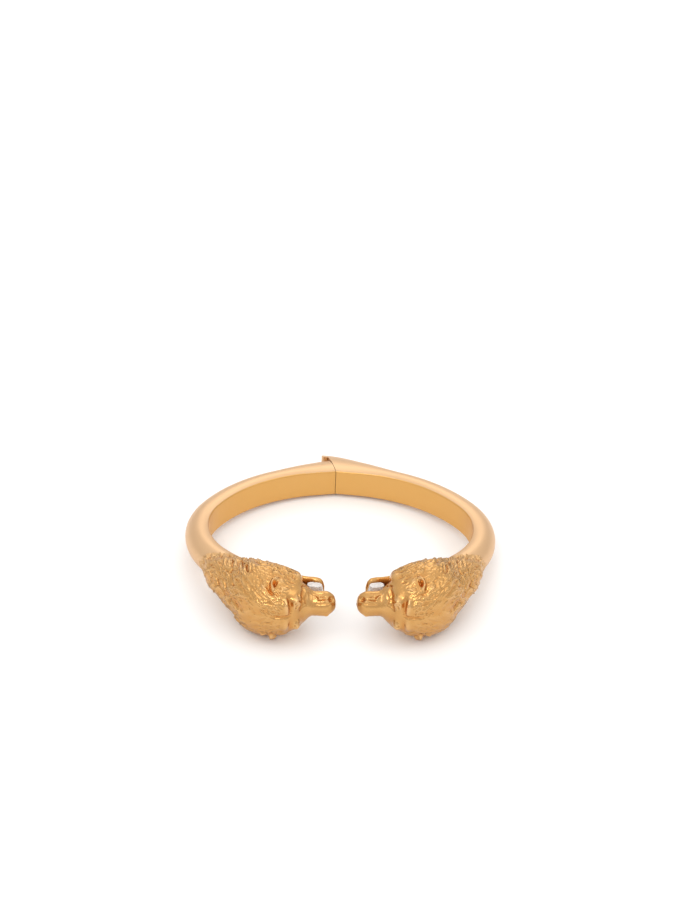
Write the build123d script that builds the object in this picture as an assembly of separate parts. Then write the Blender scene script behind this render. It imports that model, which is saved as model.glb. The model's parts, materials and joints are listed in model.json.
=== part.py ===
"""A hinged gold cuff bangle that ends in two lion heads, each holding a clear crystal in its jaws.

The bangle is modelled in its own ring frame: X to the right, Y to the back, Z up out of the flat ring,
with the middle of the wrist hollow at the origin. The last step lays it down as it rests by itself, on
the lower side of both heads and on the back of the band, with the floor at Z = 0 and the origin under
the middle of the whole.
"""
from build123d import *
import math
import os

import numpy as np

os.makedirs("parts", exist_ok=True)

# Driving sizes of the band, in millimetres
inner_width = 59.2          # wrist hollow, side to side
inner_depth = 46.8          # wrist hollow, front to back
side_radius = 16.8          # radius of the hollow's side arcs
side_forward = 0.7          # how far the side arcs' centres lie in front of the middle
band_thickness = 5.2        # inner wall to the crest of the rounded outer face
band_height = 6.05          # flat inner wall, edge to edge
edge_radius = 0.45          # soft edge between the inner wall and the outer face

# Driving sizes of the hinge at the back
seam_gap = 0.12             # between the two arms where they part
parting_lean = 14.0         # degrees that the parting plane leans over the left arm
end_start = 14.0            # how far before the seam an arm starts to thicken, along the inner wall
end_length = 17.0           # how long it goes on thickening
end_straight = 5.0          # the last stretch before the seam, where an arm runs straight
end_reach = 6.0             # how far an arm's form runs past the seam before it is cut
end_sections = 12           # sections that an arm's end is lofted through
left_rise = 2.85            # how much thicker the left arm grows
right_rise = 4.7            # how much thicker the right arm grows, which laps over the left one's end
knuckle_radius = 1.15
knuckle_height = 1.9        # the left arm's knuckle, between the right arm's two lugs
running_gap = 0.1           # between the knuckle and the lugs
pin_radius = 0.5
pin_length = 4.0
pin_clearance = 0.05        # all round the pin

# Driving sizes of the heads
front_gap = 3.9             # between the two noses, along the inner wall
head_length = 30.0          # nose to the back of the mane, along the inner wall
head_rise = 14.0            # inner wall to the crown
head_width = 16.6           # cheek to cheek, across the band
mane_back_inner = 0.74      # where the mane ends on the inner wall, as a share of the head's length
mane_back_outer = 0.98      # where the mane ends on the outer face, as a share of the head's length
band_bury = 0.52            # where the band ends inside the head, as a share of the head's length
crown_power = 2.45          # 2 is an ellipse, more is squarer
jaw_power = 2.0
ear_along = 0.335           # nose to the middle of the ear, as a share of the head's length
ear_out = 0.82              # inner wall to the middle of the ear, as a share of the head's rise
ear_side = 0.74             # middle line to the middle of the ear, as a share of half the head's width
ear_radius = 1.05           # middle of the ear's rim
ear_rim = 0.45              # thickness of the ear's rim
ear_rise = 1.2              # how far the rim stands out behind, where it is highest
ear_hollow = 0.7            # how deep the ear is cupped
ear_open = 0.15             # how much lower the rim is in front than behind, 0 to 1
tuft_height = 0.55          # how far a tuft of the mane stands out
tuft_length = 3.2           # length of a tuft along the mane
tufts_round = 14            # tufts side by side round the mane
tuft_sink = 0.3             # how deep the roots of the tufts lie, as a share of their height
mane_front = 0.36           # where the tufts start, as a share of the head's length
mane_fade = 0.12            # over how much more of the head's length they come up to their full height
face_facets = 0.45          # how much closer the facets stand at the nose than at the mane, 0 to 1
facets_along = 64
facets_round = 52

# Driving sizes of the mouth and the stone in it
palate_out = 0.26           # inner wall to the palate, as a share of the head's rise
jaw_front = 2.6             # chin, behind the nose
jaw_length = 6.5            # chin to the root inside the cheeks
jaw_width = 5.7
jaw_depth = 1.9
jaw_drop = 1.15             # how far the jaw's lower side stands inside the inner wall
jaw_facets_along = 9
jaw_facets_round = 14
stone_gap = 0.06            # between the stone and the jaws
stone_front = 2.5           # the stone's front, behind the nose
stone_length = 3.9
stone_width = 4.8
stone_corner = 0.28         # cut corners, as a share of the stone's height
stone_girdle = 0.9          # band of the stone's full outline, across its width
stone_slope = 12.0          # degrees that the stone's side facets lean in to the tables

# How finely the place where the bangle rests is worked out
rest_points = 40            # points each way over the underside of the back, and along an arm's crest
rest_rounds = 8             # times that the tilt is worked out again from the lowest points

# The upper head's cross-sections. place is a share of head_length from the nose, crown and inner are
# shares of head_rise outside the inner wall, half is a share of half the head's width, and middle is
# where the section is widest, as a share of the way from inner to crown.
HEAD_SECTIONS = (
    # place, crown, inner, half, middle
    (0.000, 0.400, 0.350, 0.060, 0.50),
    (0.010, 0.490, 0.300, 0.190, 0.45),
    (0.030, 0.555, 0.270, 0.265, 0.42),
    (0.060, 0.585, palate_out, 0.315, 0.42),
    (0.135, 0.590, palate_out, 0.330, 0.43),
    (0.155, 0.610, palate_out, 0.370, 0.45),
    (0.175, 0.660, palate_out, 0.460, 0.46),
    (0.195, 0.730, palate_out, 0.560, 0.47),
    (0.215, 0.810, 0.250, 0.620, 0.47),
    (0.235, 0.870, 0.110, 0.685, 0.47),
    (0.265, 0.930, -0.030, 0.750, 0.47),
    (0.310, 0.975, -0.040, 0.845, 0.47),
    (0.370, 1.000, -0.035, 0.945, 0.46),
    (0.430, 0.990, -0.030, 1.000, 0.46),
    (0.490, 0.950, -0.025, 0.990, 0.46),
    (0.555, 0.865, -0.025, 0.895, 0.46),
    (0.620, 0.770, -0.025, 0.755, 0.45),
    (0.700, 0.665, -0.025, 0.630, 0.45),
    (0.790, 0.590, -0.025, 0.540, 0.43),
    (0.880, 0.515, -0.025, 0.480, 0.41),
    (0.960, 0.430, -0.025, 0.455, 0.40),
    (1.060, 0.375, -0.025, 0.450, 0.38),
)

# The lower jaw's cross-sections. place is a share of jaw_length from the chin, top and bottom are shares
# of jaw_depth above the jaw's lower side, half is a share of half the jaw's width, and middle is where the
# section is widest, as a share of the way from bottom to top.
JAW_SECTIONS = (
    # place, top, bottom, half, middle
    (0.000, 0.640, 0.360, 0.300, 0.50),
    (0.060, 0.860, 0.140, 0.700, 0.50),
    (0.180, 0.980, 0.020, 0.950, 0.50),
    (0.350, 1.000, 0.000, 1.000, 0.50),
    (0.600, 0.900, 0.000, 0.950, 0.50),
    (1.000, 1.050, 0.050, 1.000, 0.50),
)

# Rounded swellings and hollows of the face. along is a share of head_length, out of head_rise, side of
# half the head's width, and size and height are shares of head_width; a side of 0 lies on the middle line
# and any other side is made on both cheeks.
FACE_FORMS = (
    # name, along, out, side, size, height
    ("eye and brow", 0.220, 0.84, 0.42, 0.095, 0.060),
    ("fold before the eye", 0.172, 0.70, 0.38, 0.050, -0.035),
    ("fold behind the eye", 0.268, 0.96, 0.26, 0.055, -0.060),
    ("temple", 0.290, 0.93, 0.42, 0.080, 0.030),
    ("cheek", 0.230, 0.50, 0.78, 0.140, 0.030),
    ("jowl", 0.200, 0.24, 0.60, 0.100, 0.025),
    ("whisker pad", 0.075, 0.36, 0.30, 0.085, 0.022),
    ("bridge of the nose", 0.100, 0.60, 0.00, 0.080, 0.018),
    ("nostril", 0.008, 0.47, 0.13, 0.030, -0.020),
    ("parting of the brow", 0.270, 0.97, 0.00, 0.075, -0.030),
)


class Oval:
    """The inner wall seen from above, four arcs that run into each other, and places measured along it."""

    def __init__(self):
        half_width = inner_width / 2
        half_depth = inner_depth / 2
        self.side = (half_width - side_radius, -side_forward)
        self.back_radius = self.end_radius(half_depth + side_forward, half_width)
        self.front_radius = self.end_radius(half_depth - side_forward, half_width)
        self.back = (0.0, half_depth - self.back_radius)
        self.front = (0.0, self.front_radius - half_depth)
        self.front_turn = math.atan2(self.side[0], self.front[1] - self.side[1])
        self.back_turn = math.atan2(self.side[0], self.side[1] - self.back[1])
        self.side_turn = math.pi - self.front_turn - self.back_turn

    @staticmethod
    def end_radius(reach, half_width):
        """Radius of the end arc that reaches so far from the side arcs' centres and meets them smoothly."""
        span = half_width ** 2 + reach ** 2 - 2 * half_width * side_radius
        return span / (2 * (reach - side_radius))

    def arcs(self):
        """The right half's arcs from the front to the back: centre, radius and how far each turns."""
        return (
            (self.front, self.front_radius, self.front_turn),
            (self.side, side_radius, self.side_turn),
            (self.back, self.back_radius, self.back_turn),
        )

    def place(self, along, out, height=0.0):
        """The point so far along the inner wall from the front middle, and so far outside it."""
        facing = 0.0
        for centre, radius, turn in self.arcs():
            if along <= radius * turn or (centre, radius) == (self.back, self.back_radius):
                facing += along / radius
                break
            along -= radius * turn
            facing += turn
        reach = radius + out
        return (centre[0] + reach * math.sin(facing), centre[1] - reach * math.cos(facing), height)


oval = Oval()
nose_place = front_gap / 2
tall = 4 * head_width       # taller than anything it cuts
wide = 4 * inner_width      # wider than anything it cuts


def band_section():
    """The band's D section, with X pointing outwards from the inner wall and Y across the band."""
    wall = Line((0, -band_height / 2), (0, band_height / 2))
    face = ThreePointArc((0, band_height / 2), (band_thickness, 0), (0, -band_height / 2))
    section = make_face([wall, face])
    return fillet(section.vertices(), edge_radius)


def section_at(centre, radius, facing):
    """The band's section standing across the inner wall, at an angle round an arc from the front."""
    outward = Vector(math.sin(facing), -math.cos(facing), 0)
    along = Vector(math.cos(facing), math.sin(facing), 0)
    foot = Vector(centre[0], centre[1], 0) + outward * radius
    return Plane(origin=foot, x_dir=outward, z_dir=-along)


def band(start, end_trim):
    """The right half of the band from a place along the inner wall to the back, less a stretch there."""
    band_piece = None
    passed = 0.0
    facing = 0.0
    for centre, radius, turn in oval.arcs():
        first = max(0.0, (start - passed) / radius)
        last = turn - (end_trim / radius if centre == oval.back else 0.0)
        passed += radius * turn
        if first < last:
            plane = section_at(centre, radius, facing + first)
            axis = Axis((centre[0], centre[1], 0), (0, 0, 1))
            piece = revolve(plane * band_section(), axis, math.degrees(last - first))
            band_piece = piece if band_piece is None else band_piece + piece
        facing += turn
    return band_piece


def end_plane(run):
    """Where the section stands so far along the right half's end: round the oval, then straight on."""
    before_seam = end_start - run
    facing = math.pi - max(before_seam, end_straight) / oval.back_radius
    plane = section_at(oval.back, oval.back_radius, facing)
    return plane.offset(min(before_seam - end_straight, 0.0))


def end_growth(run, rise):
    """How many times the band's own thickness an arm has, so far along its end."""
    share = min(run / end_length, 1.0)
    return 1 + rise / band_thickness * share ** 2 * (3 - 2 * share)


def arm_end(rise):
    """The right half's end, which thickens towards the seam and runs on past it."""
    sections = []
    for run in np.linspace(0, end_start + end_reach, end_sections):
        section = scale(band_section(), by=(end_growth(run, rise), 1, 1))
        sections.append(end_plane(run) * section)
    return loft(sections)


def parting_side(side):
    """Everything on one side of the leaning parting plane at the back: 1 is the right arm's side."""
    lean = math.radians(parting_lean)
    normal = Vector(math.cos(lean), math.sin(lean), 0) * side
    seam = Vector(0, inner_depth / 2, 0)
    plane = Plane(origin=seam + normal * (seam_gap / 2), z_dir=normal)
    return plane * Box(wide, wide, wide, align=(Align.CENTER, Align.CENTER, Align.MIN))


def hinge_place():
    """The hinge axis: on the parting plane, where it meets the crest of the left arm's outer face."""
    lean = math.tan(math.radians(parting_lean))
    crest = []
    for run in np.linspace(end_start, 0, rest_points):
        plane = end_plane(run)
        crest.append(tuple(plane.origin + plane.x_dir * band_thickness * end_growth(run, left_rise)))
    x, y, _ = np.array(crest).T
    from_parting = x - (y - inner_depth / 2) * lean
    return (-np.interp(0.0, from_parting, x), np.interp(0.0, from_parting, y))


def at_hinge(shape, low=0.0):
    """A shape that stands on a height above the ring's middle plane, set on the hinge axis."""
    x, y = hinge_place()
    return Pos(x, y, low) * shape


def upright_cylinder(radius, height):
    return Cylinder(radius, height, align=(Align.CENTER, Align.CENTER, Align.MIN))


def left_hinge(arm):
    """Makes room for the right arm's lugs and adds the knuckle between them."""
    half = knuckle_height / 2
    room = upright_cylinder(knuckle_radius + running_gap, tall)
    arm = arm - at_hinge(room, half) - mirror(at_hinge(room, half), about=Plane.XY)
    arm = arm + at_hinge(upright_cylinder(knuckle_radius, knuckle_height), -half)
    return arm - pin_hole()


def right_hinge(arm, end):
    """Makes room for the left arm's knuckle and adds the lugs above and below it, inside the arm's end."""
    half = knuckle_height / 2 + running_gap
    arm = arm - at_hinge(upright_cylinder(knuckle_radius + running_gap, 2 * half), -half)
    lug = at_hinge(upright_cylinder(knuckle_radius, tall), half) & end
    arm = arm + lug + mirror(lug, about=Plane.XY)
    return arm - pin_hole()


def pin_hole():
    length = pin_length + 2 * pin_clearance
    return at_hinge(upright_cylinder(pin_radius + pin_clearance, length), -length / 2)


def hinge_pin():
    return at_hinge(upright_cylinder(pin_radius, pin_length), -pin_length / 2)


def smooth_rows(rows, places):
    """The columns after the first, read between the rows by a smooth curve that never overshoots."""
    table = np.array(rows, float)
    knots = table[:, 0]
    values = table[:, 1:]
    step = np.diff(knots)[:, None]
    slope = np.diff(values, axis=0) / step
    same_way = slope[:-1] * slope[1:] > 0
    steepness = np.where(same_way, slope[:-1] + slope[1:], 1.0)
    tangent = np.zeros_like(values)
    tangent[0] = slope[0]
    tangent[-1] = slope[-1]
    tangent[1:-1] = np.where(same_way, 2 * slope[:-1] * slope[1:] / steepness, 0.0)
    row = np.clip(np.searchsorted(knots, places) - 1, 0, len(knots) - 2)
    width = step[row]
    t = ((places - knots[row]) / width[:, 0])[:, None]
    return (
        (2 * t ** 3 - 3 * t ** 2 + 1) * values[row]
        + (t ** 3 - 2 * t ** 2 + t) * width * tangent[row]
        + (3 * t ** 2 - 2 * t ** 3) * values[row + 1]
        + (t ** 3 - t ** 2) * width * tangent[row + 1]
    )


def rounded_sections(rows, places, height, half_width, power, points):
    """Points (out, side) round each section of a table, out from its bottom and level at its middle."""
    top, bottom, half, middle = smooth_rows(rows, places).T[:, :, None]
    around = np.arange(points) * 2 * math.pi / points
    up = np.cos(around)[None, :]
    across = np.sin(around)[None, :]
    level = bottom + middle * (top - bottom)
    reach = np.where(up > 0, top - level, level - bottom)
    curve = 2 / np.where(up > 0, power[0], power[1])
    out = level + reach * np.sign(up) * np.abs(up) ** curve
    side = half * np.sign(across) * np.abs(across) ** curve
    return out * height, side * half_width


def face_relief(points):
    """How far the face's swellings and hollows lift each point (along, out, side) of the head."""
    lift = np.zeros(points.shape[:-1])
    for _, along, out, side, size, height in FACE_FORMS:
        for hand in ((1, -1) if side else (1,)):
            middle = (nose_place + along * head_length, out * head_rise, hand * side * head_width / 2)
            distance = np.linalg.norm(points - middle, axis=-1)
            lift += height * head_width * np.exp(-2 * (distance / (size * head_width)) ** 2)
    return lift


def ear_relief(points):
    """A cupped ear on each side of the crown: a raised rim round a hollow."""
    lift = np.zeros(points.shape[:-1])
    for hand in (1, -1):
        middle = (nose_place + ear_along * head_length, ear_out * head_rise, hand * ear_side * head_width / 2)
        distance = np.linalg.norm(points - middle, axis=-1)
        ahead = (middle[0] - points[..., 0]) / np.maximum(distance, ear_rim)
        rim = np.exp(-((distance - ear_radius) / ear_rim) ** 2) * (1 - ear_open * ahead) / (1 + ear_open)
        hollow = np.exp(-((distance / (ear_radius / 2)) ** 2))
        lift += ear_rise * rim - ear_hollow * hollow
    return lift


def mane_relief(along, around, places):
    """Rows of short tufts that overlap like shingles, each rising to its tip towards the band."""
    column = around / (2 * math.pi) * tufts_round
    row = along / tuft_length + 0.5 * (np.floor(column) % 2)
    rise = row % 1.0
    across = np.abs(np.sin(math.pi * column))
    fade = np.clip((places - mane_front) / mane_fade, 0, 1)[:, None]
    return tuft_height * fade * (rise * across - tuft_sink)


def head_points():
    """The upper head's surface as rings of points (along, out, side) from the nose to the mane's end."""
    step = np.linspace(0, 1, facets_along)
    places = HEAD_SECTIONS[-1][0] * ((1 - face_facets) * step + face_facets * step ** 2)
    power = (crown_power, jaw_power)
    out, side = rounded_sections(HEAD_SECTIONS, places, head_rise, head_width / 2, power, facets_round)
    along = np.broadcast_to((nose_place + places * head_length)[:, None], out.shape)
    points = np.stack([along, out, side], axis=-1)
    centre = points.mean(axis=1, keepdims=True)
    spoke = points - centre
    reach = np.linalg.norm(spoke, axis=-1, keepdims=True)
    around = np.broadcast_to(np.arange(facets_round) * 2 * math.pi / facets_round, out.shape)
    lift = face_relief(points) + ear_relief(points) + mane_relief(along, around, places)
    return points + spoke / reach * lift[..., None]


def jaw_points():
    """The lower jaw's surface as rings of points (along, out, side) from the chin to its root."""
    places = np.linspace(0, 1, jaw_facets_along)
    out, side = rounded_sections(JAW_SECTIONS, places, jaw_depth, jaw_width / 2, (2, 2), jaw_facets_round)
    along = np.broadcast_to((nose_place + jaw_front + places * jaw_length)[:, None], out.shape)
    return np.stack([along, out - jaw_drop, side], axis=-1)


def on_the_oval(rings):
    """Rings of points (along, out, side) carried to their places round the oval."""
    return [[Vector(*oval.place(*point)) for point in ring] for ring in rings]


def faceted(rings):
    """A closed solid whose skin is two triangles between each four neighbours of the rings."""
    faces = []
    count = len(rings[0])
    for ring, after in zip(rings, rings[1:]):
        for here in range(count):
            there = (here + 1) % count
            faces.append(triangle(ring[here], after[here], after[there]))
            faces.append(triangle(ring[here], after[there], ring[there]))
    faces.append(Face(Wire.make_polygon(rings[0], close=True)))
    faces.append(Face(Wire.make_polygon(rings[-1], close=True)))
    return Solid(Shell(faces))


def triangle(*corners):
    return Face(Wire.make_polygon(corners, close=True))


def behind_the_mane():
    """Everything on the band's side of the slanting plane where the mane ends."""
    inner = Vector(*oval.place(nose_place + mane_back_inner * head_length, 0))
    outer = Vector(*oval.place(nose_place + mane_back_outer * head_length, band_thickness))
    slant = (outer - inner).normalized()
    back = Vector(-slant.Y, slant.X, 0)
    plane = Plane(origin=inner, x_dir=slant, z_dir=back)
    return plane * Box(wide, wide, wide, align=(Align.CENTER, Align.CENTER, Align.MIN))


def right_head():
    head = faceted(on_the_oval(head_points())) - behind_the_mane()
    return head + faceted(on_the_oval(jaw_points()))


def arms():
    """The left and right arms, each a band and a lion head cast as one."""
    head = right_head()
    bury = nose_place + band_bury * head_length
    half = band(bury, end_start)
    left = mirror(half + arm_end(left_rise), about=Plane.YZ)
    left = left_hinge(left & parting_side(-1))
    end = arm_end(right_rise)
    right = right_hinge((half + end) & parting_side(1), end)
    return left + mirror(head, about=Plane.YZ), right + head


def right_stone():
    """An eight-sided crystal with a table on each cheek's side, held between the palate and the jaw."""
    low = jaw_depth - jaw_drop + stone_gap
    high = palate_out * head_rise - stone_gap
    corner = stone_corner * (high - low)
    outline = chamfer(Rectangle(stone_length, high - low).vertices(), corner)
    crown = (stone_width - stone_girdle) / 2
    stone = extrude(outline, stone_girdle / 2, both=True)
    top = Pos(0, 0, stone_girdle / 2) * extrude(outline, crown, taper=stone_slope)
    stone = stone + top + mirror(top, about=Plane.XY)
    middle = nose_place + stone_front + stone_length / 2
    x, y, _ = oval.place(middle, (low + high) / 2)
    facing = math.degrees(middle / oval.front_radius)
    return Pos(x, y, 0) * Rot(0, 0, facing) * stone


def back_underside():
    """Points on the lower half of the right arm's outer face at its end, on its side of the parting plane."""
    round_centre = (band_thickness ** 2 - band_height ** 2 / 4) / (2 * band_thickness)
    round_radius = band_thickness - round_centre
    lean = math.radians(parting_lean)
    points = []
    for run in np.linspace(0, end_start + end_reach, rest_points):
        plane = end_plane(run)
        for bend in np.linspace(math.pi / 2, math.pi / 4, rest_points):
            out = end_growth(run, right_rise) * (round_centre + round_radius * math.cos(bend))
            x, y, _ = plane.origin + plane.x_dir * out
            if x * math.cos(lean) + (y - inner_depth / 2) * math.sin(lean) > seam_gap / 2:
                points.append((x, y, -round_radius * math.sin(bend)))
    return np.array(points)


def resting_tilt():
    """How far the ring tips about X to rest on the lower side of its heads and the back of its band."""
    heads = np.array([oval.place(*point) for point in head_points().reshape(-1, 3)])
    back = back_underside()
    tilt = 0.0
    for _ in range(rest_rounds):
        down = np.array((0, math.sin(tilt), math.cos(tilt)))
        front_low = heads[np.argmin(heads @ down)]
        back_low = back[np.argmin(back @ down)]
        tilt = math.atan2(front_low[2] - back_low[2], back_low[1] - front_low[1])
    return tilt


def laid_down(shapes):
    """The shapes of the ring frame, tipped to rest on the floor and centred over the origin."""
    tipped = {name: Rot(math.degrees(resting_tilt()), 0, 0) * shape for name, shape in shapes.items()}
    boxes = [shape.bounding_box() for shape in tipped.values()]
    low = np.min([tuple(box.min) for box in boxes], axis=0)
    high = np.max([tuple(box.max) for box in boxes], axis=0)
    middle = (low + high) / 2
    return {name: Pos(-middle[0], -middle[1], -low[2]) * shape for name, shape in tipped.items()}


def nodes():
    left, right = arms()
    stone = right_stone()
    return {
        "arm_left": left,
        "arm_right": right,
        "hinge_pin": hinge_pin(),
        "stone_left": mirror(stone, about=Plane.YZ),
        "stone_right": stone,
    }


for name, shape in laid_down(nodes()).items():
    export_step(shape, f"parts/{name}.step")
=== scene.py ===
"""The looks of a gold cuff bangle with two lion heads: cast heads and manes, polished band, crystals, studio.

Lengths are in millimetres in the bangle's own ring frame, X to the right, Y to the back and Z up out of the
flat ring, until a mesh is made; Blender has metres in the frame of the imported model, where the bangle lies.
"""

import json
import math

import bpy
import numpy as np
from mathutils import Matrix, Vector


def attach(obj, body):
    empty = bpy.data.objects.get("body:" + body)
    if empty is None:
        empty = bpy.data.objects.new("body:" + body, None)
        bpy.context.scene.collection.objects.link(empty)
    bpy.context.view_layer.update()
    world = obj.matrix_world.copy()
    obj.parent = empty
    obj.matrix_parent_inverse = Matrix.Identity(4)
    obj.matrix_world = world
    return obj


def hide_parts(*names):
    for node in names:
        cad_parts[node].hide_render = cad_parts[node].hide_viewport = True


# Sizes of the band and the hinge, as in the model
inner_width = 59.2
inner_depth = 46.8
side_radius = 16.8
side_forward = 0.7
band_thickness = 5.2
band_height = 6.05
parting_lean = 14.0

# Sizes of the heads, as in the model
front_gap = 3.9
head_length = 30.0
head_rise = 14.0
head_width = 16.6
mane_back_inner = 0.74
mane_back_outer = 0.98
palate_out = 0.26
crown_power = 2.45
jaw_power = 2.0
jaw_front = 2.6
jaw_length = 6.5
jaw_width = 5.7
jaw_depth = 1.9
jaw_drop = 1.15

# How fine the cast surfaces are
head_rings = 330
head_spokes = 290
ring_spread = 0.25          # how much closer the rings stand at the nose than at the mane, 0 to 1
# The cut depth measured over this neighbourhood sets the painted shade and painted highlight of the cast gold
blur_rounds = 40            # how wide the neighbourhood is that a cut's depth is measured from
jaw_rings = 50
jaw_spokes = 48
millimetre = 0.001

# How the head runs into the band, in millimetres behind the slanting plane of the mane's end
ease = (-4.2, 0.2)          # where its sections ease into the band's outline
proud = 0.05                # how far it still stands outside the band there
band_core = 0.45            # inner wall to the point that both are measured from, as a share of the band
pit_end = (-1.4, -0.4)      # where its pits get shallower, so that none opens beside the band's edge
deep_pit = 1.0
shallow_pit = 0.03
sink = (0.0, 0.6)           # where it sinks into the band
sink_depth = 0.22
polish_start = (-9.0, 0.5)  # where its colour comes near the band's, and how near
polish_share = 0.6
# The wrist side is polished and also carries a painted reflection in the inner wall's deeper tint
wrist_side = (0.78, 0.84)   # where its polished wrist side starts, as a share of the way round from the crown
wrist_front = (0.24, 0.30)  # and as a share of the head's length
band_start = (-0.002, 0.01)     # where the band's faces start: all corners past one, some past the other
# The inner wall's faces, picked by the next two, get a deeper, more saturated tint: a painted reflection of
# the gold across the ring
wall_reach = 0.1            # how far outside half the hollow's width the inner wall's faces still lie
wall_facing = -0.6          # how squarely they face the middle of the ring, -1 at most

# The head's cross-sections: place and the rest are shares, as in the model
HEAD_SECTIONS = (
    # place, crown, inner, half, middle
    (0.000, 0.400, 0.350, 0.060, 0.50),
    (0.010, 0.490, 0.300, 0.190, 0.45),
    (0.030, 0.555, 0.270, 0.265, 0.42),
    (0.060, 0.585, palate_out, 0.315, 0.42),
    (0.135, 0.590, palate_out, 0.330, 0.43),
    (0.155, 0.610, palate_out, 0.370, 0.45),
    (0.175, 0.660, palate_out, 0.460, 0.46),
    (0.195, 0.730, palate_out, 0.560, 0.47),
    (0.215, 0.810, 0.250, 0.620, 0.47),
    (0.235, 0.870, 0.110, 0.685, 0.47),
    (0.265, 0.930, -0.030, 0.750, 0.47),
    (0.310, 0.975, -0.040, 0.845, 0.47),
    (0.370, 1.000, -0.035, 0.945, 0.46),
    (0.430, 0.990, -0.030, 1.000, 0.46),
    (0.490, 0.950, -0.025, 0.990, 0.46),
    (0.555, 0.865, -0.025, 0.895, 0.46),
    (0.620, 0.770, -0.025, 0.755, 0.45),
    (0.700, 0.665, -0.025, 0.630, 0.45),
    (0.790, 0.590, -0.025, 0.540, 0.43),
    (0.880, 0.515, -0.025, 0.480, 0.41),
    (0.960, 0.430, -0.025, 0.455, 0.40),
    (1.060, 0.375, -0.025, 0.450, 0.38),
)

JAW_SECTIONS = (
    # place, top, bottom, half, middle
    (0.000, 0.640, 0.360, 0.300, 0.50),
    (0.060, 0.860, 0.140, 0.700, 0.50),
    (0.180, 0.980, 0.020, 0.950, 0.50),
    (0.350, 1.000, 0.000, 1.000, 0.50),
    (0.600, 0.900, 0.000, 0.950, 0.50),
    (1.000, 1.050, 0.050, 1.000, 0.50),
)

# How wide each head is on its upper side beside the model's, because no two castings come out alike
UPPER_SIDE = (
    # place, right head, left head
    (0.00, 1.00, 1.00),
    (0.20, 1.05, 1.00),
    (0.28, 1.09, 0.99),
    (0.36, 1.05, 0.94),
    (0.45, 1.00, 0.90),
    (0.62, 1.00, 0.94),
    (0.80, 1.00, 1.00),
    (1.06, 1.00, 1.00),
)

# Rounded swellings and hollows of the face. place is a share of the head's length, out of its rise and side
# of half its width; long, deep and wide are the form's half sizes and height its lift, in millimetres. A
# form with a side is made on both cheeks.
FACE_FORMS = (
    # name, place, out, side, long, deep, wide, height
    ("eyeball", 0.218, 0.765, 0.350, 0.60, 0.85, 0.95, 1.05),
    ("pupil", 0.224, 0.800, 0.325, 0.20, 0.22, 0.24, -0.50),
    ("brow", 0.264, 0.885, 0.290, 0.50, 0.80, 1.70, 0.45),
    ("forelock", 0.300, 0.935, 0.260, 1.00, 1.20, 1.60, 0.26),
    ("temple", 0.285, 0.760, 0.660, 0.90, 1.00, 1.00, 0.35),
    ("cheek", 0.232, 0.360, 0.720, 0.95, 1.40, 1.20, 0.62),
    ("ear root", 0.316, 0.690, 0.815, 0.60, 0.80, 0.70, 0.42),
    ("curl behind the ear", 0.394, 0.860, 0.700, 0.55, 0.55, 0.55, 0.38),
    ("jowl", 0.215, 0.200, 0.560, 1.50, 1.60, 1.80, 0.32),
    ("muzzle root", 0.165, 0.600, 0.000, 1.20, 1.20, 1.50, 0.22),
    ("whisker pad", 0.062, 0.380, 0.290, 1.50, 1.20, 0.90, 0.28),
    ("bridge of the nose", 0.095, 0.600, 0.000, 2.20, 0.70, 0.80, 0.14),
    ("nose pad", 0.004, 0.460, 0.000, 0.60, 0.60, 1.00, 0.22),
    ("nostril", 0.024, 0.480, 0.210, 0.75, 0.55, 0.45, -0.75),
    ("nostril wing", 0.050, 0.540, 0.215, 0.50, 0.26, 0.35, 0.24),
)

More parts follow.
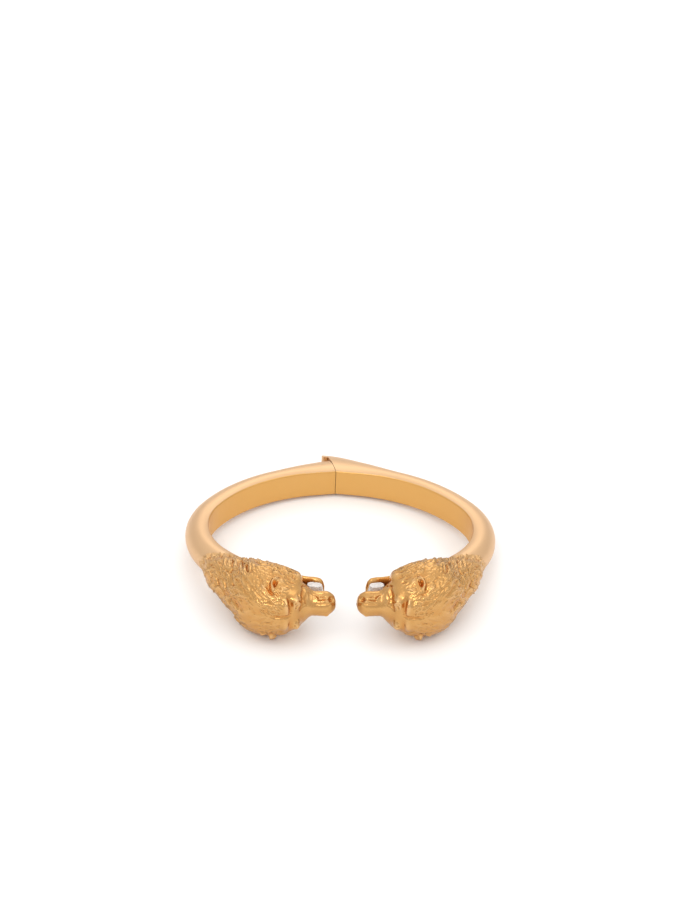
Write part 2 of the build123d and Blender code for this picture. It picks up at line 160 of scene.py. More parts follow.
# Cut lines and raised ridges of the face. width and height are in millimetres, a cut has a negative height,
# and the points are (place, out, side) as above. Each is made on both cheeks.
FACE_LINES = (
    # name, width, height, points
    ("fold before the eye", 0.42, -0.7, ((0.19, 0.54, 0.56), (0.185, 0.62, 0.43), (0.181, 0.66, 0.31))),
    ("corner of the eye", 0.3, -0.5, ((0.181, 0.66, 0.31), (0.185, 0.695, 0.19), (0.192, 0.73, 0.08))),
    ("fold beside the nose", 0.22, -0.34, ((0.17, 0.56, 0.42), (0.172, 0.62, 0.3), (0.166, 0.65, 0.16))),
    ("fold behind the eye", 0.42, -0.52, ((0.257, 0.83, 0.47), (0.242, 0.862, 0.296), (0.238, 0.88, 0.09))),
    ("ridge behind the fold", 0.34, 0.42, ((0.268, 0.865, 0.47), (0.258, 0.89, 0.28), (0.254, 0.905, 0.1))),
    ("upper lid", 0.18, 0.4, ((0.222, 0.73, 0.5), (0.23, 0.815, 0.33), (0.222, 0.83, 0.18))),
    ("slit of the eye", 0.13, -0.45, ((0.212, 0.7, 0.5), (0.216, 0.765, 0.35), (0.215, 0.8, 0.2))),
    ("lower lid", 0.17, 0.38, ((0.21, 0.68, 0.48), (0.202, 0.72, 0.32), (0.21, 0.785, 0.15))),
    ("nostril fold", 0.15, -0.4, ((0.036, 0.505, 0.23), (0.066, 0.53, 0.24), (0.1, 0.549, 0.229))),
    ("upper whisker fold", 0.13, -0.34, ((0.1, 0.549, 0.229), (0.112, 0.51, 0.29), (0.146, 0.474, 0.337))),
    ("ridge of the muzzle", 0.2, 0.26, ((0.108, 0.545, 0.255), (0.135, 0.51, 0.32), (0.165, 0.5, 0.42))),
    ("middle whisker fold", 0.12, -0.28, ((0.062, 0.49, 0.28), (0.08, 0.5, 0.29), (0.098, 0.495, 0.3))),
    ("lower whisker fold", 0.13, -0.3, ((0.075, 0.43, 0.31), (0.1, 0.44, 0.32), (0.135, 0.44, 0.33))),
    ("muzzle line", 0.18, -0.18, ((0.038, 0.555, 0.15), (0.11, 0.59, 0.15), (0.18, 0.672, 0.141))),
    ("lip", 0.26, 0.2, ((0.01, 0.31, 0.15), (0.06, 0.3, 0.3), (0.15, 0.3, 0.35))),
    ("cheek fold", 0.3, -0.36, ((0.15, 0.33, 0.38), (0.185, 0.42, 0.52), (0.2, 0.54, 0.6))),
    ("behind the ear", 0.3, -0.7, ((0.372, 0.82, 0.755), (0.362, 0.868, 0.69), (0.338, 0.894, 0.6))),
    ("philtrum", 0.16, -0.22, ((0, 0.44, 0), (0, 0.33, 0))),
    ("parting", 0.26, -0.42, ((0.235, 0.88, 0), (0.3, 0.966, 0), (0.43, 0.99, 0))),
)


def settings(**values):
    """A plain record of named values."""
    return type("Settings", (), values)


# The ear: a small cupped rim on each side of the crown, highest behind and open towards the nose
ear = settings(
    place=0.337, out=0.762, side=0.785,
    half_long=0.60, half_wide=1.20, half_deep=1.8,
    lean_out=0.85, lean_side=0.53,
    rim=0.34, height=1.00, open=0.6, core=0.2,
    hollow=0.60, hollow_long=0.26, hollow_wide=0.52,
    bare_deep=1.4, bare=(1.05, 1.5),
)

# Hair: sizes in millimetres, starts and ends as shares of the head's length. Locks are the large lumps of
# the mane, strands lie on them, and the coat is the short hair of the crown and cheeks.
lock = settings(
    seed=11.0, length=4.4, width=2.5, row_gap=2.2, height=0.80, lean=0.40, outward=0.20, bend=0.35,
    start=0.42, fade=0.14,
)
strand = settings(
    seed=29.0, length=3.0, width=1.15, row_gap=1.35, height=0.24, lean=0.45, outward=0.20, bend=0.35,
    start=0.38, fade=0.10,
)
coat = settings(
    seed=47.0, length=2.2, width=0.80, row_gap=0.90, height=0.36, lean=0.50, outward=0.45, bend=0.35,
    start=0.264, fade=0.03,
)
hair_mean = 0.42            # how much of the hair's lift is taken off again, so that the head doesn't swell
hair_end = (-0.75, 1.5)     # where the hair runs out, in millimetres behind the plane of the mane's end
hair_side = (0.62, 0.80)    # where it runs out towards the wrist, as a share of the way round from the crown
cheek_side = (0.22, 0.40)   # where the coat starts sooner, as such a share, and how much sooner
cheek_sooner = 0.035
under_side = (-2.0, 1.0)    # where the hair grows higher from the lower to the upper side, in millimetres
under_hair = 0.70           # how high it is on the lower side, beside the upper one
patchiness = 0.30           # how much its height varies over the head, 0 to 1
patch_range = (-0.5, 0.7)
PATCH_WAVES = (
    # along, across, shift
    (1.3, 0.8, 0.0),
    (0.9, -1.5, 2.0),
)

# One tuft, in shares of its length, its width or its height, or as said. The first four are how far
# neighbours stand apart and how much each one's place and length are scattered.
tuft = settings(
    column_gap=0.72, scatter_back=0.5, scatter_across=0.4, scatter_length=0.5, reach=1.25,
    fullness=1.9, taper=0.75, root_height=0.45, thinnest=0.02,
    ridges=3, ridge_height=0.16,
    end_slope=0.85, end_gap=0.3,
)

# Lines of the face: how deep they are at their ends, where their ends are cut, and on the lower cheek
line_end = 0.45
line_cap = 0.05
under_share = 0.25


class Oval:
    """The inner wall seen from above, four arcs that run into each other, and places measured along it."""

    def __init__(self):
        half_width = inner_width / 2
        half_depth = inner_depth / 2
        self.side = (half_width - side_radius, -side_forward)
        self.back_radius = self.end_radius(half_depth + side_forward, half_width)
        self.front_radius = self.end_radius(half_depth - side_forward, half_width)
        self.back = (0.0, half_depth - self.back_radius)
        self.front = (0.0, self.front_radius - half_depth)
        self.front_turn = math.atan2(self.side[0], self.front[1] - self.side[1])
        self.back_turn = math.atan2(self.side[0], self.side[1] - self.back[1])
        self.side_turn = math.pi - self.front_turn - self.back_turn

    @staticmethod
    def end_radius(reach, half_width):
        """Radius of the end arc that reaches so far from the side arcs' centres and meets them smoothly."""
        span = half_width ** 2 + reach ** 2 - 2 * half_width * side_radius
        return span / (2 * (reach - side_radius))

    def arcs(self):
        """The right half's arcs from the front to the back: centre, radius and how far each turns."""
        return (
            (self.front, self.front_radius, self.front_turn),
            (self.side, side_radius, self.side_turn),
            (self.back, self.back_radius, self.back_turn),
        )

    def place(self, points):
        """Points (along the inner wall from the front middle, outside it, up) in the ring frame."""
        along, out, up = np.moveaxis(np.asarray(points, float), -1, 0)
        x = np.zeros_like(along)
        y = np.zeros_like(along)
        passed = 0.0
        facing = 0.0
        for centre, radius, turn in self.arcs():
            angle = facing + (along - passed) / radius
            here = along >= passed
            x = np.where(here, centre[0] + (radius + out) * np.sin(angle), x)
            y = np.where(here, centre[1] - (radius + out) * np.cos(angle), y)
            passed += radius * turn
            facing += turn
        return np.stack([x, y, up], axis=-1)


oval = Oval()
nose_place = front_gap / 2
face_scale = np.array((head_length, head_rise, head_width / 2))
face_start = np.array((nose_place, 0.0, 0.0))


def smooth_rows(rows, places):
    """The columns after the first, read between the rows by a smooth curve that never overshoots."""
    table = np.array(rows, float)
    knots = table[:, 0]
    values = table[:, 1:]
    step = np.diff(knots)[:, None]
    slope = np.diff(values, axis=0) / step
    same_way = slope[:-1] * slope[1:] > 0
    steepness = np.where(same_way, slope[:-1] + slope[1:], 1.0)
    tangent = np.zeros_like(values)
    tangent[0] = slope[0]
    tangent[-1] = slope[-1]
    tangent[1:-1] = np.where(same_way, 2 * slope[:-1] * slope[1:] / steepness, 0.0)
    row = np.clip(np.searchsorted(knots, places) - 1, 0, len(knots) - 2)
    width = step[row]
    t = ((places - knots[row]) / width[:, 0])[:, None]
    return (
        (2 * t ** 3 - 3 * t ** 2 + 1) * values[row]
        + (t ** 3 - 2 * t ** 2 + t) * width * tangent[row]
        + (3 * t ** 2 - 2 * t ** 3) * values[row + 1]
        + (t ** 3 - t ** 2) * width * tangent[row + 1]
    )


def rounded_sections(rows, places, height, half_width, power, points):
    """Points (out, side) round each section of a table, out from its bottom and level at its middle."""
    top, bottom, half, middle = smooth_rows(rows, places).T[:, :, None]
    around = np.arange(points) * 2 * math.pi / points
    up = np.cos(around)[None, :]
    across = np.sin(around)[None, :]
    level = bottom + middle * (top - bottom)
    reach = np.where(up > 0, top - level, level - bottom)
    curve = 2 / np.where(up > 0, power[0], power[1])
    out = level + reach * np.sign(up) * np.abs(up) ** curve
    side = half * np.sign(across) * np.abs(across) ** curve
    return out * height, side * half_width


def smooth_step(value, start, end):
    """0 before start, 1 after end, and a soft change between."""
    t = np.clip((value - start) / (end - start), 0, 1)
    return t * t * (3 - 2 * t)


def on_face(place, out, side, hand):
    """A place given in shares of the head's sizes, on one cheek, as a point (along, out, side)."""
    return face_start + np.array((place, out, hand * side)) * face_scale


def band_reach(middle, direction):
    """From a point at that height above the inner wall to the band's D-shaped outline, in a direction."""
    round_centre = (band_thickness ** 2 - band_height ** 2 / 4) / (2 * band_thickness)
    round_radius = band_thickness - round_centre
    outward = np.cos(direction)
    offset = middle - round_centre
    to_round = -offset * outward + np.sqrt((offset * outward) ** 2 + round_radius ** 2 - offset ** 2)
    to_wall = np.where(outward < 0, middle / np.maximum(-outward, 1e-6), np.inf)
    return np.minimum(to_round, to_wall)


def onto_the_band(out, side, behind):
    """The head's sections eased into the band's own outline towards the slanting end of the mane."""
    middle = band_core * band_thickness
    direction = np.arctan2(side, out - middle)
    reach = np.hypot(out - middle, side)
    share = smooth_step(behind, *ease)
    eased = reach + share * (band_reach(middle, direction) + proud - reach)
    return middle + eased * np.cos(direction), eased * np.sin(direction)


def behind_the_mane(ring_points):
    """How far behind the slanting plane of the mane's end each point of the ring frame lies."""
    inner = oval.place((nose_place + mane_back_inner * head_length, 0.0, 0.0))
    outer = oval.place((nose_place + mane_back_outer * head_length, band_thickness, 0.0))
    slant = (outer - inner) / np.linalg.norm(outer - inner)
    back = np.array((-slant[1], slant[0], 0.0))
    return (ring_points - inner) @ back


def face_forms(points):
    lift = np.zeros(points.shape[:-1])
    for _, place, out, side, long, deep, wide, height in FACE_FORMS:
        for hand in ((1, -1) if side else (1,)):
            apart = (points - on_face(place, out, side, hand)) / (long, deep, wide)
            lift += height * np.exp(-(apart ** 2).sum(axis=-1))
    return lift


def distance_to_line(points, corners):
    """How far each point is from a line through the corners, and how far along it as a share."""
    nearest = np.full(points.shape[:-1], np.inf)
    share = np.zeros(points.shape[:-1])
    legs = len(corners) - 1
    for leg in range(legs):
        start = corners[leg]
        run = corners[leg + 1] - start
        t = np.clip(((points - start) @ run) / (run @ run), 0, 1)
        distance = np.linalg.norm(points - start - t[..., None] * run, axis=-1)
        closer = distance < nearest
        nearest = np.where(closer, distance, nearest)
        share = np.where(closer, (leg + t) / legs, share)
    return nearest, share


def face_lines(points):
    lift = np.zeros(points.shape[:-1])
    for _, width, height, corners in FACE_LINES:
        on_the_middle = all(side == 0 for _, _, side in corners)
        for hand in ((1,) if on_the_middle else (1, -1)):
            path = np.array([on_face(*corner, hand) for corner in corners])
            distance, share = distance_to_line(points, path)
            taper = line_end + (1 - line_end) * np.sin(math.pi * np.clip(share, line_cap, 1 - line_cap))
            lift += height * taper * (1 if hand > 0 else under_share) * np.exp(-(distance / width) ** 2)
    return lift


def ear_relief(points):
    """A cupped ear on each side of the crown: a raised rim round a deep hollow."""
    lift = np.zeros(points.shape[:-1])
    for hand in (1, -1):
        apart = points - on_face(ear.place, ear.out, ear.side, hand)
        forward = -apart[..., 0] / ear.half_long
        across = (apart @ np.array((0.0, ear.lean_out, -ear.lean_side * hand))) / ear.half_wide
        near = np.exp(-((apart @ np.array((0.0, ear.lean_side, ear.lean_out * hand))) / ear.half_deep) ** 4)
        radius = np.hypot(forward, across)
        facing = forward / np.maximum(radius, ear.core)
        rim = ear.height * smooth_step(facing, ear.open, -ear.open) * np.exp(-((radius - 1) / ear.rim) ** 2)
        slit = np.hypot(forward / ear.hollow_long, across / ear.hollow_wide)
        hollow = ear.hollow * np.exp(-slit ** 2)
        lift += near * (rim - hollow)
    return lift


def away_from_ears(points):
    """0 inside the ears' rims, 1 away from them."""
    clear = np.ones(points.shape[:-1])
    for hand in (1, -1):
        apart = points - on_face(ear.place, ear.out, ear.side, hand)
        distance = np.linalg.norm(apart / (ear.half_long, ear.bare_deep, ear.half_wide), axis=-1)
        clear *= smooth_step(distance, *ear.bare)
    return clear


def scatter(row, column, salt):
    """A number from 0 to 1 for each row and column, which looks random and is the same every time."""
    mixed = np.sin(row * 12.9898 + column * 78.233 + salt * 37.719) * 43758.5453
    return mixed - np.floor(mixed)


def tufts(hair, back, around, behind):
    """How far overlapping pointed tufts that lie back along the head lift each point."""
    column_gap = tuft.column_gap * hair.width
    best = np.zeros_like(back)
    first_row = np.floor(back / hair.row_gap)
    rows = int(math.ceil(tuft.reach * hair.length / hair.row_gap)) + 1
    for older in range(rows):
        row = first_row - older
        shift = 0.5 * (row % 2)
        nearest = np.round(around / column_gap - shift)
        for neighbour in (-1, 0, 1):
            column = nearest + neighbour
            chance = [scatter(row, column, hair.seed + salt) - 0.5 for salt in range(5)]
            root = (row + tuft.scatter_back * chance[0]) * hair.row_gap
            foot = (column + shift + tuft.scatter_across * chance[1]) * column_gap
            length = hair.length * (1 + tuft.scatter_length * chance[2])
            t = (back - root) / length
            inside = (t > 0) & (t < 1)
            t = np.clip(t, 0.001, 0.999)
            lean = 2 * hair.lean * chance[3] + hair.outward * np.sign(foot)
            curl = hair.bend * np.sign(chance[4]) * np.sin(math.pi * t)
            middle = foot + length * (lean * t + curl)
            half = hair.width / 2 * tuft.fullness * np.sqrt(t) * (1 - t) ** tuft.taper
            across = (around - middle) / np.maximum(half, tuft.thinnest)
            dome = np.sqrt(np.clip(1 - across ** 2, 0, 1))
            strands = 1 + tuft.ridge_height * np.cos(tuft.ridges * math.pi * across)
            rooted = (behind - tuft.end_slope * (back - root)) < -tuft.end_gap
            lift = hair.height * (tuft.root_height + (1 - tuft.root_height) * t) * dome * strands
            best = np.maximum(best, np.where(inside & rooted, lift, 0))
    return best


def hair_relief(points, places, around, behind):
    """The short coat of the crown and cheeks, and the mane's locks with finer strands on them."""
    back = np.broadcast_to((places * head_length)[:, None], around.shape)
    girth = np.abs(around).max(axis=1, keepdims=True)
    sideways = np.abs(around) / girth
    off_the_wrist = 1 - smooth_step(sideways, *hair_side)
    before_the_end = 1 - smooth_step(behind, *hair_end)
    cheek_start = coat.start - cheek_sooner * smooth_step(sideways, *cheek_side)
    short = smooth_step(places[:, None], cheek_start, cheek_start + coat.fade)
    lift = np.zeros(around.shape)
    for hair in (lock, strand):
        share = smooth_step(places[:, None], hair.start, hair.start + hair.fade)
        lift += share * (tufts(hair, back, around, behind) - hair_mean * hair.height)
    long = smooth_step(places[:, None], strand.start, strand.start + strand.fade)
    lift += short * (1 - long) * (tufts(coat, back, around, behind) - hair_mean * coat.height)
    upper = under_hair + (1 - under_hair) * smooth_step(around, *under_side)
    wave = np.ones(around.shape)
    for along, across, shift in PATCH_WAVES:
        wave = wave * np.sin(along * back + across * around + shift)
    patches = 1 - patchiness * smooth_step(wave, *patch_range)
    return lift * upper * patches * off_the_wrist * before_the_end * away_from_ears(points)


def surface_normals(ring_points):
    """Outward normals of a grid of rings that close on themselves."""
    forward = np.gradient(ring_points, axis=0)
    sideways = np.roll(ring_points, -1, axis=1) - np.roll(ring_points, 1, axis=1)
    normal = np.cross(forward, sideways)
    length = np.linalg.norm(normal, axis=-1, keepdims=True)
    normal = normal / np.maximum(length, 1e-9)
    middle = ring_points.mean(axis=1, keepdims=True)
    if ((ring_points - middle) * normal).sum() < 0:
        normal = -normal
    return normal


def arc_length_round(points):
    """How far each point of a ring lies from the crown, round the ring, with a sign for its side."""
    steps = np.linalg.norm(np.roll(points, -1, axis=1) - points, axis=-1)
    travelled = np.concatenate([np.zeros((len(points), 1)), np.cumsum(steps, axis=1)[:, :-1]], axis=1)
    total = steps.sum(axis=1, keepdims=True)
    return np.where(travelled <= total / 2, travelled, travelled - total)


def blurred(lift):
    """The lift averaged over the neighbourhood of each point."""
    for _ in range(blur_rounds):
        lift = (np.roll(lift, 1, axis=1) + lift + np.roll(lift, -1, axis=1)) / 3
        lift = (np.concatenate([lift[:1], lift[:-1]]) + lift + np.concatenate([lift[1:], lift[-1:]])) / 3
    return lift


def head_grid(hand):
    """A head's cast surface on the ring's right half, and its looks: how deep in a cut each point lies, for
    the painted shade and painted highlight, how near it comes to the band's polish, and whether it lies on
    the wrist's side, for its polish and its painted reflection."""
    step = np.linspace(0, 1, head_rings)
    places = HEAD_SECTIONS[-1][0] * ((1 - ring_spread) * step + ring_spread * step ** 2)
    power = (crown_power, jaw_power)
    out, side = rounded_sections(HEAD_SECTIONS, places, head_rise, head_width / 2, power, head_spokes)
    along = np.broadcast_to((nose_place + places * head_length)[:, None], out.shape)
    upper = smooth_rows(UPPER_SIDE, places)[:, 0 if hand > 0 else 1, None]
    side = np.where(side > 0, side * upper, side)
    behind = behind_the_mane(oval.place(np.stack([along, out, side], axis=-1)))
    out, side = onto_the_band(out, side, behind)
    points = np.stack([along, out, side], axis=-1)
    base = oval.place(points)
    around = arc_length_round(points[..., 1:])
    behind = behind_the_mane(base)
    lift = face_forms(points) + face_lines(points) + ear_relief(points)
    lift = lift + hair_relief(points, places, around, behind)
    deepest = (deep_pit - shallow_pit) * smooth_step(behind, *pit_end) - deep_pit
    lift = np.maximum(lift, deepest) - sink_depth * smooth_step(behind, *sink)
    surface = base + surface_normals(base) * lift[..., None]
    girth = np.abs(around).max(axis=1, keepdims=True)
    # The wrist side's mask: its polish and its painted reflection tint
    wrist = smooth_step(np.abs(around) / girth, *wrist_side) * smooth_step(places[:, None], *wrist_front)
    polish = np.maximum(polish_share * smooth_step(behind, *polish_start), wrist)
    # The relief above its neighbourhood paints shade into the cut lines and a highlight onto the ridges of
    # the cast gold
    return surface, {"relief_for_painted_light": lift - blurred(lift), "polish": polish, "wrist": wrist}


def jaw_grid():
    """The right head's lower jaw as rings of points in the ring frame."""
    places = np.linspace(0, 1, jaw_rings)
    out, side = rounded_sections(JAW_SECTIONS, places, jaw_depth, jaw_width / 2, (2, 2), jaw_spokes)
    along = np.broadcast_to((nose_place + jaw_front + places * jaw_length)[:, None], out.shape)
    return oval.place(np.stack([along, out - jaw_drop, side], axis=-1))


def ring_to_row():
    """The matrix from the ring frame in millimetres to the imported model's frame in metres."""
    joint = frame["joints"][0]
    upright = Vector(joint["axis"]).normalized()
    across = Vector((1, 0, 0))
    backward = upright.cross(across)
    turn = Matrix((across, backward, upright)).transposed()
    hinge_x = joint["pos_m"][0] / millimetre
    hinge_y = inner_depth / 2 - hinge_x / math.tan(math.radians(parting_lean))
    middle = Vector(joint["pos_m"]) - turn @ Vector((hinge_x, hinge_y, 0)) * millimetre
    return Matrix.Translation(middle) @ turn.to_4x4() @ Matrix.Scale(millimetre, 4)


def to_row(points):
    """Ring-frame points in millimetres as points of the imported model's frame."""
    matrix = np.array(to_model)
    return points @ matrix[:3, :3].T + matrix[:3, 3]


def new_object(name, vertices, faces, materials):
    mesh = bpy.data.meshes.new(name)
    mesh.from_pydata(vertices, [], faces)
    for material in materials:
        mesh.materials.append(material)
    mesh.shade_smooth()
    piece = bpy.data.objects.new(name, mesh)
    bpy.context.scene.collection.objects.link(piece)
    return piece


def grid_faces(rings, spokes, start, inside_out):
    """Quads between the rings and a fan-free cap at each end."""
    ring = np.arange(rings - 1)[:, None] * spokes
    here = np.arange(spokes)[None, :]
    there = (here + 1) % spokes
    corners = (ring + here, ring + here + spokes, ring + there + spokes, ring + there)
    quads = np.stack([c + start for c in corners], axis=-1).reshape(-1, 4)
    first_cap = start + np.arange(spokes)
    last_cap = start + (rings - 1) * spokes + np.arange(spokes)[::-1]
    faces = quads.tolist() + [first_cap.tolist(), last_cap.tolist()]
    return [face[::-1] for face in faces] if inside_out else faces


def cast_head(name, hand, material):
    """One lion head with its lower jaw, mirrored for the left arm (hand -1)."""
    head, looks = head_grid(hand)
    jaw = jaw_grid()
    mirror = np.array((hand, 1, 1))
    vertices = to_row(np.concatenate([head.reshape(-1, 3), jaw.reshape(-1, 3)]) * mirror)
    vertices[:, 2] = np.maximum(vertices[:, 2], 0)      # flat where it would reach into the floor
    faces = grid_faces(head_rings, head_spokes, 0, hand > 0)
    faces += grid_faces(jaw_rings, jaw_spokes, head_rings * head_spokes, hand > 0)
    piece = new_object(name, vertices.tolist(), faces, [material])
    for attribute, values in looks.items():
        layer = piece.data.attributes.new(attribute, "FLOAT", "POINT")
        values = np.concatenate([values.ravel(), np.zeros(jaw_rings * jaw_spokes)])
        layer.data.foreach_set("value", values.astype(np.float32))
    return piece


def band_of(node_name, hand, outer_gold, inner_gold_painted_reflection):
    """The band's own faces of an arm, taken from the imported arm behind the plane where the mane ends."""
    source = frame["nodes"][node_name].data
    count = len(source.vertices)
    places = np.zeros(count * 3, np.float32)
    source.vertices.foreach_get("co", places)
    places = places.reshape(-1, 3)
    from_row = np.array(to_model.inverted())
    ring = (places @ from_row[:3, :3].T + from_row[:3, 3]) * (hand, 1, 1)
    behind = behind_the_mane(ring)
    faces = []
    normals = []
    inside = []
    corner_normals = source.corner_normals
    for face in source.polygons:
        corners = list(face.vertices)
        if behind[corners].min() > band_start[0] and behind[corners].max() > band_start[1]:
            faces.append(corners)
            normals += [corner_normals[i].vector.copy() for i in face.loop_indices]
            centre = Vector(ring[corners].mean(axis=0) * (hand, 1, 1))
            facing = to_model.to_3x3().normalized().transposed() @ face.normal
            near_the_wall = centre.length < inner_width / 2 + wall_reach
            # Faces of the inner wall get the second material, a painted reflection of the gold across the
            # ring
            inside.append(int(near_the_wall and facing.dot(centre.normalized()) < wall_facing))
    used = sorted({corner for face in faces for corner in face})
    number = {old: new for new, old in enumerate(used)}
    piece = new_object(
        node_name + "_band",
        places[used].tolist(),
        [[number[corner] for corner in face] for face in faces],
        [outer_gold, inner_gold_painted_reflection],
    )
    piece.data.polygons.foreach_set("material_index", inside)
    piece.data.normals_split_custom_set(normals)
    return piece


class Look:
    """A node material on the principled shader, and the few kinds of nodes that it is made of."""

    def __init__(self, name):
        self.material = bpy.data.materials.new(name)
        self.material.use_nodes = True
        self.nodes = self.material.node_tree.nodes
        self.links = self.material.node_tree.links
        self.shader = self.nodes["Principled BSDF"]

    def put(self, value, socket):
        """Links another node's output to a socket, or sets a number or a colour on it."""
        if isinstance(value, bpy.types.NodeSocket):
            self.links.new(value, socket)
        elif isinstance(value, tuple):
            socket.default_value = (*value, 1)
        else:
            socket.default_value = value

    def shade(self, socket_name, value):
        self.put(value, self.shader.inputs[socket_name])

    def noise(self, scale, detail):
        """Fine noise that is fixed to the piece, 0 to 1."""
        place = self.nodes.new("ShaderNodeTexCoord")
        noise = self.nodes.new("ShaderNodeTexNoise")
        self.put(scale, noise.inputs["Scale"])
        self.put(detail, noise.inputs["Detail"])
        self.put(place.outputs["Object"], noise.inputs["Vector"])
        return noise.outputs["Fac"]

    def attribute(self, name):
        """A value that each point of the mesh carries."""
        carried = self.nodes.new("ShaderNodeAttribute")
        carried.attribute_name = name
        return carried.outputs["Fac"]

    def spread(self, value, low, high, start=0.0, end=1.0):
        """A value carried from the range of start to end to that of low to high."""
        spread = self.nodes.new("ShaderNodeMapRange")
        for socket_name, limit in (("From Min", start), ("From Max", end), ("To Min", low), ("To Max", high)):
            self.put(limit, spread.inputs[socket_name])
        self.put(value, spread.inputs["Value"])
        return spread.outputs["Result"]

    def mix(self, kind, share, first, second):
        """Between two colours (kind RGBA) or two numbers (kind FLOAT)."""
        mix = self.nodes.new("ShaderNodeMix")
        mix.data_type = kind
        self.put(share, mix.inputs["Factor"])
        self.put(first, mix.inputs["A"])
        self.put(second, mix.inputs["B"])
        return mix.outputs["Result"]

    def ramp(self, share, stops):
        """A colour read from stops of a place from 0 to 1 and a colour."""
        ramp = self.nodes.new("ShaderNodeValToRGB")
        elements = ramp.color_ramp.elements
        for place, _ in stops[1:-1]:
            elements.new(place)
        for element, (_, colour) in zip(elements, stops):
            element.color = (*colour, 1)
        self.put(share, ramp.inputs["Fac"])
        return ramp.outputs["Color"]


# Painted shade and painted highlight of the cast gold, from the deepest cut, at 0, to the highest ridge, at 1
PAINTED_SHADE_AND_HIGHLIGHT_TINTS = (
    # place, colour
    (0.00, (0.560, 0.250, 0.070)),
    (0.55, (0.590, 0.318, 0.108)),
    (1.00, (0.690, 0.410, 0.175)),
)


def gold_band(name, first, second):
    """Polished gold plate with faint polishing haze, between two close tints."""
    look = Look(name)
    haze = look.noise(scale=90.0, detail=3.0)
    look.shade("Metallic", 1.0)
    look.shade("Roughness", look.spread(haze, 0.36, 0.46))
    look.shade("Base Color", look.mix("RGBA", haze, first, second))
    return look.material


def gold_cast():
    """Satin cast gold with painted shade, deeper and redder, down in the cut lines and a painted highlight on
    the ridges, polished towards the band and the wrist, whose side has a painted reflection in a deeper tint.
    """
    look = Look("cast_gold")
    # Painted shade in the cut lines and painted highlight on the ridges, read from the relief above the
    # neighbourhood
    depth = look.spread(look.attribute("relief_for_painted_light"), 0.0, 1.0, start=-0.32, end=0.28)
    painted_shade_and_highlight = look.ramp(depth, PAINTED_SHADE_AND_HIGHLIGHT_TINTS)
    # The wrist's side takes the inner wall's deeper tint, a painted reflection of the gold across the ring;
    # elsewhere the polished plate's own tint
    plate = look.mix("RGBA", look.attribute("wrist"), (0.700, 0.440, 0.215), (0.712, 0.405, 0.130))
    polish = look.attribute("polish")
    grain = look.noise(scale=1400.0, detail=4.0)
    bump = look.nodes.new("ShaderNodeBump")
    look.put(0.25, bump.inputs["Strength"])
    look.put(0.00020, bump.inputs["Distance"])
    look.put(grain, bump.inputs["Height"])
    look.shade("Metallic", 1.0)
    look.shade("Base Color", look.mix("RGBA", polish, painted_shade_and_highlight, plate))
    look.shade("Roughness", look.mix("FLOAT", polish, look.spread(grain, 0.20, 0.30), 0.41))
    look.shade("Normal", bump.outputs["Normal"])
    return look.material


def crystal():
    """Clear cut crystal with a breath of warm grey."""
    look = Look("clear_crystal")
    look.shade("Base Color", (0.88, 0.82, 0.78))
    look.shade("Transmission Weight", 0.45)
    look.shade("IOR", 1.55)
    look.shade("Roughness", look.spread(look.noise(scale=600.0, detail=2.0), 0.02, 0.07))
    return look.material


def steel():
    """Plain pin steel whose roughness varies finely."""
    look = Look("pin_steel")
    look.shade("Metallic", 1.0)
    look.shade("Base Color", (0.55, 0.55, 0.57))
    look.shade("Roughness", look.spread(look.noise(scale=900.0, detail=2.0), 0.25, 0.45))
    return look.material


def give(node_name, material):
    """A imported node's shape stays, and gets a better material."""
    slots = frame["nodes"][node_name].data.materials
    slots.clear()
    slots.append(material)


def make_bangle():
    outer_gold = gold_band("polished_gold", (0.690, 0.440, 0.235), (0.720, 0.465, 0.262))
    # The inner wall's tints are deeper and more saturated: a painted reflection of the gold across the ring
    inner_gold_painted_reflection = gold_band("polished_gold_painted_reflection", (0.690, 0.385, 0.115), (0.735, 0.425, 0.145))
    cast_gold = gold_cast()
    for hand, word in ((-1, "left"), (1, "right")):
        node_name = "arm_" + word
        head = cast_head("head_" + word, hand, cast_gold)
        band = band_of(node_name, hand, outer_gold, inner_gold_painted_reflection)
        for piece in (head, band):
            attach(piece, word)
            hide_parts(node_name)
        give("stone_" + word, clear_crystal)
    give("hinge_pin", steel())


# The camera, in the ring frame: its axis goes through the ring's middle
camera_rise = 30.74         # degrees above the ring's plane
camera_turn = 3.67          # degrees that the ring is turned under it
camera_roll = 2.29
camera_distance = 700.0
focal_pixels = 3117.0
picture_height = 919        # in pixels
middle_right = 0.4          # the ring's middle in the picture, right of and below the picture's centre
middle_below = 76.0
sensor_height = 24.0


def make_camera():
    rise = math.radians(camera_rise)
    turn = Matrix.Rotation(math.radians(-camera_turn), 3, "Z")
    backward = turn @ Vector((0, -math.cos(rise), math.sin(rise)))
    upward = turn @ Vector((0, math.sin(rise), math.cos(rise)))
    sideways = turn @ Vector((1, 0, 0))
    roll = math.radians(camera_roll)
    right = sideways * math.cos(roll) + upward * math.sin(roll)
    up = upward * math.cos(roll) - sideways * math.sin(roll)
    pose = Matrix((right, up, backward)).transposed()
    ring_turn = to_model.to_3x3().normalized()
    place = to_model @ (backward * camera_distance)
    camera = bpy.data.cameras.new("camera")
    camera.sensor_fit = "VERTICAL"
    camera.sensor_height = sensor_height
    camera.lens = focal_pixels / picture_height * sensor_height
    camera.shift_x = -middle_right / picture_height
    camera.shift_y = middle_below / picture_height
    camera.clip_start = 0.05
    camera.clip_end = 10.0
    holder = bpy.data.objects.new("camera", camera)
    holder.matrix_world = Matrix.Translation(place) @ (ring_turn @ pose).to_4x4()
    bpy.context.scene.collection.objects.link(holder)
    bpy.context.scene.camera = holder


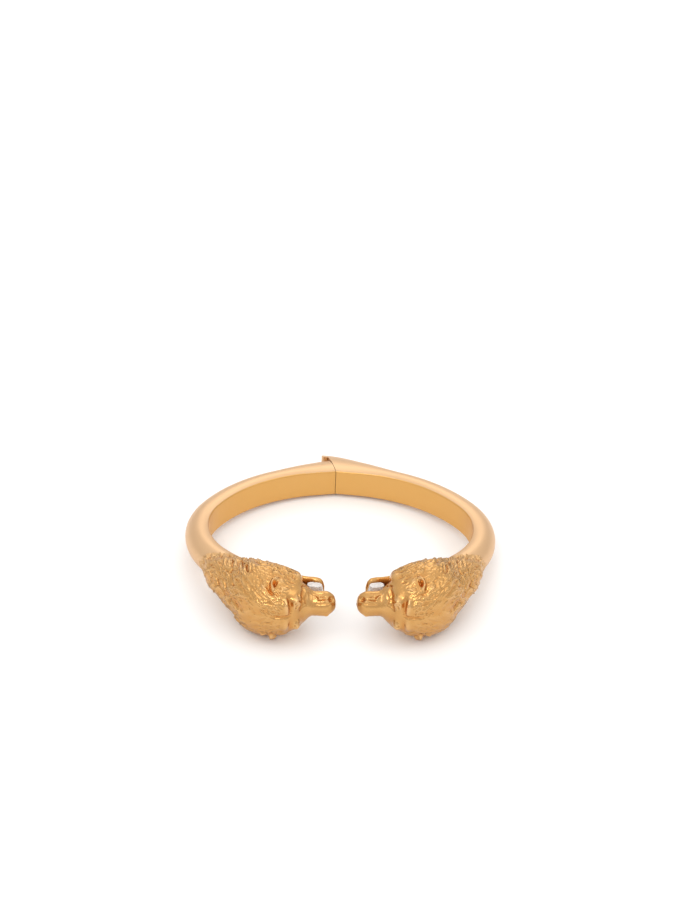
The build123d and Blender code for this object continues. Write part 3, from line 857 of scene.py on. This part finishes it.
# Soft lights that face the bangle: places and sizes in metres, power in watts
LIGHTS = (
    # name, place, width, depth, power
    ("key", (-0.25, -0.30, 0.55), 0.35, 0.35, 0.45),
    ("fill", (0.35, -0.15, 0.40), 0.25, 0.25, 0.20),
    ("glint", (-0.10, -0.42, 0.38), 0.09, 0.09, 0.30),
    ("back", (0.05, 0.45, 0.35), 0.40, 0.20, 0.30),
)
floor_side = 2.0            # half the floor's side, in metres
floor_white = 0.97
horizon_light = 0.78        # how bright the white surroundings are at the horizon and overhead
overhead_light = 1.22


def make_floor():
    look = Look("pale_floor")
    look.shade("Base Color", (floor_white, floor_white, floor_white))
    look.shade("Roughness", 0.8)
    corners = [(x * floor_side, y * floor_side, 0) for x, y in ((-1, -1), (1, -1), (1, 1), (-1, 1))]
    floor = new_object("floor", corners, [(0, 1, 2, 3)], [look.material])


def make_surroundings():
    world = bpy.data.worlds.new("soft_white")
    world.use_nodes = True
    nodes = world.node_tree.nodes
    links = world.node_tree.links
    nodes["Background"].inputs["Color"].default_value = (1, 1, 1, 1)
    place = nodes.new("ShaderNodeTexCoord")
    parts = nodes.new("ShaderNodeSeparateXYZ")
    links.new(place.outputs["Generated"], parts.inputs["Vector"])
    height = nodes.new("ShaderNodeMapRange")
    height.inputs["To Min"].default_value = horizon_light
    height.inputs["To Max"].default_value = overhead_light
    links.new(parts.outputs["Z"], height.inputs["Value"])
    links.new(height.outputs["Result"], nodes["Background"].inputs["Strength"])
    bpy.context.scene.world = world
    bpy.context.scene.view_settings.view_transform = "Standard"


def make_lights():
    for name, place, width, depth, power in LIGHTS:
        light = bpy.data.lights.new(name, "AREA")
        light.shape = "RECTANGLE"
        light.size = width
        light.size_y = depth
        light.energy = power
        holder = bpy.data.objects.new(name, light)
        holder.location = place
        holder.rotation_euler = (-Vector(place)).to_track_quat("-Z", "Y").to_euler()
        bpy.context.scene.collection.objects.link(holder)


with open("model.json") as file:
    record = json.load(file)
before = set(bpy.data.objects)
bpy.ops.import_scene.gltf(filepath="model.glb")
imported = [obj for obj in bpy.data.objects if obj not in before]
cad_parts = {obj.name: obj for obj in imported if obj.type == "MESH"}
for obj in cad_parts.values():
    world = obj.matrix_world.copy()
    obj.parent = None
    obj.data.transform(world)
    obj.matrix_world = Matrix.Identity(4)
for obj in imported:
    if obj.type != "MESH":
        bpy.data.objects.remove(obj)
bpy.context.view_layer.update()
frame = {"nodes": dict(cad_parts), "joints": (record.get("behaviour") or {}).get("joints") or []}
to_model = ring_to_row()
clear_crystal = crystal()
make_bangle()
make_camera()
make_floor()
make_surroundings()
make_lights()
